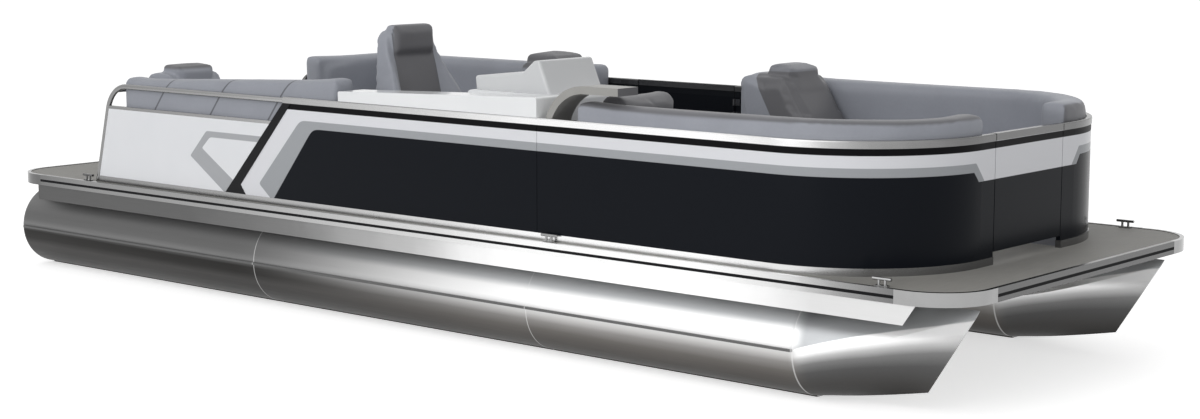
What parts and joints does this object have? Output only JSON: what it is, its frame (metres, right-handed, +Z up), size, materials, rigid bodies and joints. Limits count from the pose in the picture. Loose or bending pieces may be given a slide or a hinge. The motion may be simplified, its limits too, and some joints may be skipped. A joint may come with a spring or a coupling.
{
  "type": "pontoon boat",
  "caption": "Twin-tube pontoon boat with a panelled fence, gates at bow, side and stern, cushioned lounges with lifting seats, a helm console and a swivel chair.",
  "frame": {"origin": "on the centreline at mid length, at the level of the keels that it stands on", "axes": "+X to the bow, +Y to port, +Z up"},
  "size_m": [7.55, 2.59, 1.765],
  "materials": {
    "mill_aluminium": "brushed",
    "bright_aluminium": "polished",
    "stainless": "polished",
    "fence_paint": "gloss",
    "white_paint": "gloss",
    "black_trim": "satin",
    "rub_rubber": "matt",
    "deck_vinyl": "woven",
    "gelcoat": "gloss",
    "base_plastic": "moulded",
    "seat_vinyl": "stitched",
    "helm_black": "grained"
  },
  "bodies": {
    "hull": {"pontoon_tube_starboard": "mill_aluminium", "pontoon_tube_port": "mill_aluminium", "nose_cones": "mill_aluminium", "deck_risers": "mill_aluminium", "cross_channels": "mill_aluminium", "side_skirts": "mill_aluminium", "motor_pod": "mill_aluminium", "rim_extrusions": "bright_aluminium", "corner_castings": "bright_aluminium", "foot_rail_starboard": "bright_aluminium", "foot_rail_port": "bright_aluminium", "top_rail_starboard": "bright_aluminium", "top_rail_port": "bright_aluminium", "aft_rails": "bright_aluminium", "chair_pedestal": "bright_aluminium", "cleats": "stainless", "gate_hinges": "stainless", "ladder_brackets": "stainless", "fence_bow_starboard": "fence_paint", "fence_bow_port": "fence_paint", "fence_mid_starboard": "fence_paint", "fence_mid_port": "fence_paint", "quarter_panels": "white_paint", "stern_panels": "white_paint", "slanted_posts": "black_trim", "rub_inserts": "rub_rubber", "deck_floor": "deck_vinyl", "helm_ledge": "gelcoat", "helm_console": "gelcoat", "instrument_pod": "gelcoat", "console_arch": "gelcoat", "lounge_base_bow_starboard": "base_plastic", "lounge_base_bow_port": "base_plastic", "lounge_base_aft_starboard": "base_plastic", "lounge_base_aft_port": "base_plastic", "bow_cushions": "seat_vinyl", "stern_cushion_port": "seat_vinyl", "bow_back_starboard": "seat_vinyl", "bow_back_port": "seat_vinyl", "aft_back_starboard": "seat_vinyl", "aft_back_port": "seat_vinyl", "chaise_back_bow_starboard": "seat_vinyl", "chaise_back_bow_port": "seat_vinyl", "chaise_back_aft_starboard": "seat_vinyl", "chaise_back_aft_port": "seat_vinyl"},
    "bow_gate": {"bow_gate": "fence_paint"},
    "side_gate": {"side_gate": "fence_paint"},
    "stern_gate": {"stern_gate": "white_paint"},
    "steering_wheel": {"steering_wheel": "helm_black"},
    "helm_chair": {"chair_frame": "base_plastic", "chair_cushions": "seat_vinyl"},
    "boarding_ladder": {"boarding_ladder": "bright_aluminium"},
    "bow_lid_starboard": {"seat_lid_bow_starboard": "seat_vinyl"},
    "bow_lid_port": {"seat_lid_bow_port": "seat_vinyl"},
    "aft_lid_starboard": {"seat_lid_aft_starboard": "seat_vinyl"},
    "aft_lid_port": {"seat_lid_aft_port": "seat_vinyl"}
  },
  "joints": [
    {"name": "bow_gate_hinge", "type": "hinge", "parent": "hull", "child": "bow_gate", "pos_m": [3.372, 0.349, 0.9685], "axis": [0, 0, -1], "range_deg": [0, 90]},
    {"name": "side_gate_hinge", "type": "hinge", "parent": "hull", "child": "side_gate", "pos_m": [0.612, 1.197, 0.9685], "axis": [0, 0, 1], "range_deg": [0, 90]},
    {"name": "stern_gate_hinge", "type": "hinge", "parent": "hull", "child": "stern_gate", "pos_m": [-2.577, -0.349, 0.9685], "axis": [0, 0, -1], "range_deg": [0, 90]},
    {"name": "steering_wheel_turn", "type": "hinge", "parent": "hull", "child": "steering_wheel", "pos_m": [0.285, -0.6, 1.3], "axis": [0.9063, 0, -0.4226], "range_deg": [-540, 540]},
    {"name": "helm_chair_swivel", "type": "hinge", "parent": "hull", "child": "helm_chair", "pos_m": [-0.245, -0.6, 0.955], "axis": [0, 0, 1], "continuous": true},
    {"name": "boarding_ladder_hinge", "type": "hinge", "parent": "hull", "child": "boarding_ladder", "pos_m": [-3.757, 0.9, 0.68], "axis": [0, -1, 0], "range_deg": [0, 250]},
    {"name": "bow_lid_starboard_hinge", "type": "hinge", "parent": "hull", "child": "bow_lid_starboard", "pos_m": [1.945, -1.029, 1.0853], "axis": [1, 0, 0], "range_deg": [0, 70]},
    {"name": "bow_lid_port_hinge", "type": "hinge", "parent": "hull", "child": "bow_lid_port", "pos_m": [1.675, 1.029, 1.0853], "axis": [-1, 0, 0], "range_deg": [0, 70]},
    {"name": "aft_lid_starboard_hinge", "type": "hinge", "parent": "hull", "child": "aft_lid_starboard", "pos_m": [-1.535, -1.029, 1.0853], "axis": [1, 0, 0], "range_deg": [0, 70]},
    {"name": "aft_lid_port_hinge", "type": "hinge", "parent": "hull", "child": "aft_lid_port", "pos_m": [-1.435, 1.029, 1.0853], "axis": [-1, 0, 0], "range_deg": [0, 70]}
  ]
}
